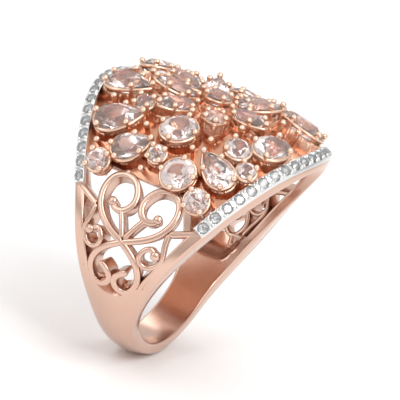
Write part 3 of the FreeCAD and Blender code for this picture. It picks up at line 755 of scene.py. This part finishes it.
def make_plate(stones, material):
    """The plate under the stones, a radius over (angle, y): it lies PLATE_DEPTH under the dome
    of girdles, and a cup rises from it round every stone.  The cup is flat inside the stone's
    outline and CUP_WALL beyond it, then falls over CUP_SLOPE by a smooth step of the distance.
    Across, the plate ends just inside the rails, and its underside never reaches the finger."""
    angle = np.linspace(PLATE_START, 360.0 - PLATE_START, 281)[:, None]
    edge_y = opening_half(angle) + PLATE_OVERLAP
    y = np.linspace(-1.0, 1.0, 211)[None, :] * edge_y
    foot_y = np.linspace(1.0, -1.0, 31)[None, :] * edge_y
    x = np.broadcast_to(np.radians(angle - 180.0) * TEMPLATE_RADIUS, y.shape)
    wall = np.zeros_like(y)
    for stone in stones:
        ring = template_outline(stone, 48)[1]
        reach = stone[5] / 2 + CUP_REACH
        near = np.hypot(x - stone[2], y - stone[3]) < reach
        away = np.hypot(x[near][:, None] - ring[:, 0], y[near][:, None] - ring[:, 1]).min(1)
        height = PLATE_DEPTH - CUP_DEPTH + min(stone[7], 0.0)
        wall[near] = np.maximum(wall[near], height * smooth_step(1.0 - (away - CUP_WALL) / CUP_SLOPE))
    wall = wall * smooth_step((1.0 - np.abs(y) / edge_y) / CUP_EDGE_SHARE)
    top = dome_radius(angle, y) - PLATE_DEPTH + wall
    low = dome_radius(angle, foot_y) - PLATE_DEPTH - PLATE_THICKNESS
    low = np.maximum(low, FINGER_RADIUS + PLATE_CLEARANCE)
    body = Body()
    body.add_tube(np.concatenate([at(angle, y, top), at(angle, foot_y, low)], 1))
    for x0, y0 in FILLER_POSTS:
        for sign in (-1, 1):
            body.add_tube(filler_post(sign * x0, sign * y0))
    return body.make("pierced_gallery", material, ["gallery_plate"], 50)


# ---- materials ----
class Value:
    """A socket's value that can be added, subtracted and multiplied."""

    def __init__(self, nodes, socket):
        self.nodes = nodes
        self.socket = socket

    def calc(self, operation, first, second):
        return Value(self.nodes, self.nodes.add("ShaderNodeMath", {"operation": operation}, [first, second]))

    def __add__(self, other):
        return self.calc("ADD", self, other)

    def __mul__(self, other):
        return self.calc("MULTIPLY", self, other)

    def __sub__(self, other):
        return self.calc("SUBTRACT", self, other)

    def __rsub__(self, other):
        return self.calc("SUBTRACT", other, self)

    __radd__ = __add__
    __rmul__ = __mul__


class Nodes:
    """The node tree of one material."""

    def __init__(self, name):
        self.material = bpy.data.materials.new(name)
        self.material.use_nodes = True
        self.tree = self.material.node_tree
        self.shader = self.tree.nodes["Principled BSDF"]
        self.place = self.add("ShaderNodeTexCoord", {}, {}, "Object")

    def add(self, kind, settings, inputs, output=0):
        """Any node: its settings first, then the values or links of its sockets."""
        node = self.tree.nodes.new(kind)
        for key, value in settings.items():
            setattr(node, key, value)
        pairs = inputs.items() if isinstance(inputs, dict) else enumerate(inputs)
        for key, value in pairs:
            self.feed(node.inputs[key], value)
        return node.outputs[output]

    def feed(self, socket, value):
        if isinstance(value, Value):
            value = value.socket
        if isinstance(value, bpy.types.NodeSocket):
            self.tree.links.new(value, socket)
        else:
            socket.default_value = value

    def finish(self, **inputs):
        for key, value in inputs.items():
            self.feed(self.shader.inputs[key.replace("_", " ")], value)
        return self.material

    def noise(self, scale, detail=2.0, stretch=(1.0, 1.0, 1.0)):
        """Noise whose scale is in features per millimetre, about 0 to 1."""
        place = self.add("ShaderNodeMapping", {}, {"Vector": self.place, "Scale": stretch})
        inputs = {"Vector": place, "Scale": scale / MM, "Detail": detail}
        return Value(self, self.add("ShaderNodeTexNoise", {}, inputs))

    def mix(self, share, first, second):
        """A colour between two, each given as three numbers or as another node's colour."""
        ends = [end if isinstance(end, bpy.types.NodeSocket) else (*end, 1.0) for end in (first, second)]
        return self.add("ShaderNodeMix", {"data_type": "RGBA"}, {0: share, 6: ends[0], 7: ends[1]}, 2)

    def depth_share(self, start, end):
        """0 at one depth under the dome of girdles and 1 at another, in millimetres."""
        split = self.add("ShaderNodeSeparateXYZ", {}, [self.place]).node
        x, y, z = (Value(self, split.outputs[axis]) * (1.0 / MM) for axis in "XYZ")
        squares = x * x + z * z
        radius = squares.calc("POWER", squares, 0.5)
        dome = FINGER_RADIUS + DOME_EDGE_HEIGHT + DOME_RISE - y * y * (DOME_RISE / HEAD_HALF_WIDTH ** 2)
        share = (dome - radius - start) * (1.0 / (end - start))
        positive = share.calc("MAXIMUM", share, 0.0)
        return positive.calc("MINIMUM", positive, 1.0)

    def bump(self, height, depth):
        return self.add("ShaderNodeBump", {}, {"Height": height, "Distance": depth * MM, "Strength": 1.0})


def rose_gold(name, roughness, scratch_depth, tones=((0.64, 0.42, 0.33), (0.72, 0.50, 0.405))):
    """Polished rose gold: faint cloudy tone, uneven polish and fine hairline wear."""
    n = Nodes(name)
    clouds = n.noise(0.35)
    hairlines = n.noise(6.0, 1.0, (0.25, 6.0, 0.25))
    speckle = n.noise(14.0)
    colour = n.mix(clouds, *tones)
    return n.finish(Base_Color=colour, Metallic=1.0, Roughness=roughness + 0.12 * clouds + 0.05 * speckle,
                    Normal=n.bump(hairlines + 0.5 * speckle, scratch_depth))


def setting_gold():
    """Rose gold of the settings and the gallery, with painted shade: the colour turns darker and browner
    with depth under the dome of girdles, so the prong heads stay light and the recesses look shaded.
    """
    n = Nodes("setting_rose_gold")
    clouds = n.noise(0.5)
    speckle = n.noise(12.0)
    top = n.mix(clouds, (0.80, 0.55, 0.41), (0.88, 0.65, 0.51))
    painted_recess_shade = n.mix(clouds, (0.60, 0.30, 0.19), (0.74, 0.42, 0.29))
    # painted shade: the deeper under the dome of girdles, the more of the darker brown tone
    colour = n.mix(n.depth_share(0.1, 1.15), top, painted_recess_shade)
    return n.finish(Base_Color=colour, Metallic=1.0, Roughness=0.14 + 0.12 * clouds + 0.06 * speckle,
                    Normal=n.bump(speckle, 0.004))


def white_metal():
    """Bright white plating, a little darker in patches, with fine tool marks and painted shade in the
    diamonds' seats.
    """
    n = Nodes("white_plating")
    patches = n.noise(1.6)
    marks = n.noise(12.0)
    bright = n.mix(patches, (0.66, 0.66, 0.65), (0.84, 0.84, 0.83))
    seat = n.add("ShaderNodeAttribute", {"attribute_name": "shade"}, {}, "Fac")
    # painted shade: the seats under the diamonds go to a darker grey
    colour = n.mix(seat, bright, (0.46, 0.46, 0.46))
    return n.finish(Base_Color=colour, Metallic=1.0, Roughness=0.16 + 0.14 * patches,
                    Normal=n.bump(marks, 0.003))


def pink_stone():
    """Faceted pale pink stone: soft zoning of colour and barely uneven facets."""
    n = Nodes("morganite_facets")
    zones = n.noise(0.3)
    feathers = n.noise(2.2, 4.0)
    colour = n.mix(zones, (1.0, 0.91, 0.89), (1.0, 0.83, 0.79))
    return n.finish(Base_Color=colour, Roughness=0.02 + 0.05 * feathers, IOR=1.72,
                    Transmission_Weight=0.93, Normal=n.bump(feathers, 0.002))


def clear_diamond():
    """Small clear stones with a slight tone from stone to stone."""
    n = Nodes("diamond_facets")
    zones = n.noise(0.7)
    colour = n.mix(zones, (0.93, 0.94, 0.96), (1.0, 1.0, 1.0))
    return n.finish(Base_Color=colour, Roughness=0.01 + 0.03 * zones, IOR=2.2, Transmission_Weight=1.0)


def floor_paper():
    n = Nodes("pale_floor")
    fibre = n.noise(0.8)
    colour = n.mix(fibre, (0.95, 0.95, 0.95), (0.97, 0.97, 0.97))
    return n.finish(Base_Color=colour, Roughness=0.55 + 0.1 * fibre)


# ---- studio ----
CAMERA_AZIMUTH = -70.5
CAMERA_ELEVATION = 18.1
CAMERA_ROLL = 16.9
CAMERA_DISTANCE = 600.0
FRAME_WIDTH = 30.56
AIM_RIGHT = 1.734
AIM_UP = 2.437
SENSOR = 36.0
FLOOR_HALF = 1.5

# name, azimuth, elevation, distance, width, height and brightness of each soft box
LIGHTS = (
    ("key_box", -35.0, 60.0, 160.0, 120.0, 90.0, 2.2),
    ("spark_box", -50.0, 38.0, 150.0, 26.0, 26.0, 14.0),
    ("inner_box", -20.0, 4.0, 150.0, 70.0, 60.0, 1.2),
    ("side_box", -130.0, 30.0, 160.0, 60.0, 110.0, 1.6),
    ("back_box", 110.0, 45.0, 180.0, 90.0, 60.0, 1.5),
)


def make_camera():
    """A long lens level with the ring, rolled so that the head leans to the right."""
    a, e, roll = (math.radians(v) for v in (CAMERA_AZIMUTH, CAMERA_ELEVATION, CAMERA_ROLL))
    back = Vector((math.sin(a) * math.cos(e), -math.cos(a) * math.cos(e), math.sin(e)))
    level = Vector((math.cos(a), math.sin(a), 0.0))
    upright = back.cross(level)
    right = level * math.cos(roll) + upright * math.sin(roll)
    up = upright * math.cos(roll) - level * math.sin(roll)
    data = bpy.data.cameras.new("camera")
    data.sensor_width = SENSOR
    data.lens = SENSOR * CAMERA_DISTANCE / FRAME_WIDTH
    data.clip_start = 0.01
    data.clip_end = 10.0
    camera = bpy.data.objects.new("camera", data)
    turn = Matrix((right, up, back)).transposed().to_4x4()
    aim = (right * AIM_RIGHT + up * AIM_UP + back * CAMERA_DISTANCE) * MM
    camera.matrix_world = Matrix.Translation(aim) @ turn
    bpy.context.scene.collection.objects.link(camera)
    bpy.context.scene.camera = camera


def make_light(name, azimuth, elevation, distance, width, height, brightness):
    """A soft box aimed at the head; its power is brightness times pi times its area."""
    a, e = math.radians(azimuth), math.radians(elevation)
    back = Vector((math.sin(a) * math.cos(e), -math.cos(a) * math.cos(e), math.sin(e)))
    data = bpy.data.lights.new(name, "AREA")
    data.shape = "RECTANGLE"
    data.size = width * MM
    data.size_y = height * MM
    data.energy = brightness * math.pi * width * height * MM * MM
    light = bpy.data.objects.new(name, data)
    light.location = back * (distance * MM)
    light.rotation_mode = "QUATERNION"
    light.rotation_quaternion = (-back).to_track_quat("-Z", "Y")
    bpy.context.scene.collection.objects.link(light)


def make_world():
    """A pale room that is brighter overhead than at the sides."""
    world = bpy.data.worlds.new("studio")
    bpy.context.scene.world = world
    world.use_nodes = True
    tree = world.node_tree
    place = tree.nodes.new("ShaderNodeTexCoord")
    split = tree.nodes.new("ShaderNodeSeparateXYZ")
    ramp = tree.nodes.new("ShaderNodeValToRGB")
    tree.links.new(place.outputs["Generated"], split.inputs[0])
    tree.links.new(split.outputs["Z"], ramp.inputs["Fac"])
    ramp.color_ramp.elements[0].position = 0.0
    ramp.color_ramp.elements[0].color = (0.62, 0.60, 0.59, 1.0)
    ramp.color_ramp.elements[1].position = 0.75
    ramp.color_ramp.elements[1].color = (1.0, 1.0, 1.0, 1.0)
    tree.links.new(ramp.outputs["Color"], tree.nodes["Background"].inputs["Color"])
    tree.nodes["Background"].inputs["Strength"].default_value = 1.0


def make_floor():
    """A plain pale floor under the ring, far wider than the view."""
    low = cad_box[0][2]
    half = FLOOR_HALF
    corners = [(-half, -half, low), (half, -half, low), (half, half, low), (-half, half, low)]
    mesh = bpy.data.meshes.new("floor")
    mesh.from_pydata(corners, [], [(0, 1, 2, 3)])
    mesh.materials.append(floor_paper())
    floor = bpy.data.objects.new("floor", mesh)
    bpy.context.scene.collection.objects.link(floor)


def main():
    polished = rose_gold("polished_rose_gold", 0.12, 0.0012)
    cast = rose_gold("cast_rose_gold", 0.16, 0.003)
    plating = white_metal()
    pink = pink_stone()
    clear = clear_diamond()

    make_shank(polished)
    make_scrollwork("scroll_strands_left", 1.0, cast, "scrollwork_left")
    make_scrollwork("scroll_strands_right", -1.0, cast, "scrollwork_right")
    for side, edge in ((-1, "front"), (1, "back")):
        make_rail(edge + "_edge_rail", side, polished, edge + "_rail")
        make_channel(edge + "_bead_channel", side, plating, edge + "_channel")
        make_row_diamonds(edge + "_diamonds", side, clear, edge + "_row_diamonds")
    settings = setting_gold()
    for slot in frame["nodes"]["gallery_bridge"].material_slots:
        slot.material = cast

    stones = cluster()
    spots = prong_spots(stones)
    make_plate(stones, settings)
    groups = {"flower": [], "left": [], "right": []}
    for stone in stones:
        make_gem(stone, pink)
        group = "left" if stone[0].endswith("_left") else "right"
        if stone[0].startswith(("petal", "centre")):
            group = "flower"
        groups[group].append(stone)
    for group, members in groups.items():
        make_baskets(group + "_baskets", members, spots, settings, group + "_settings")

    make_camera()
    make_world()
    make_floor()
    for light in LIGHTS:
        make_light(*light)
    bpy.context.scene.view_settings.view_transform = "Standard"


main()
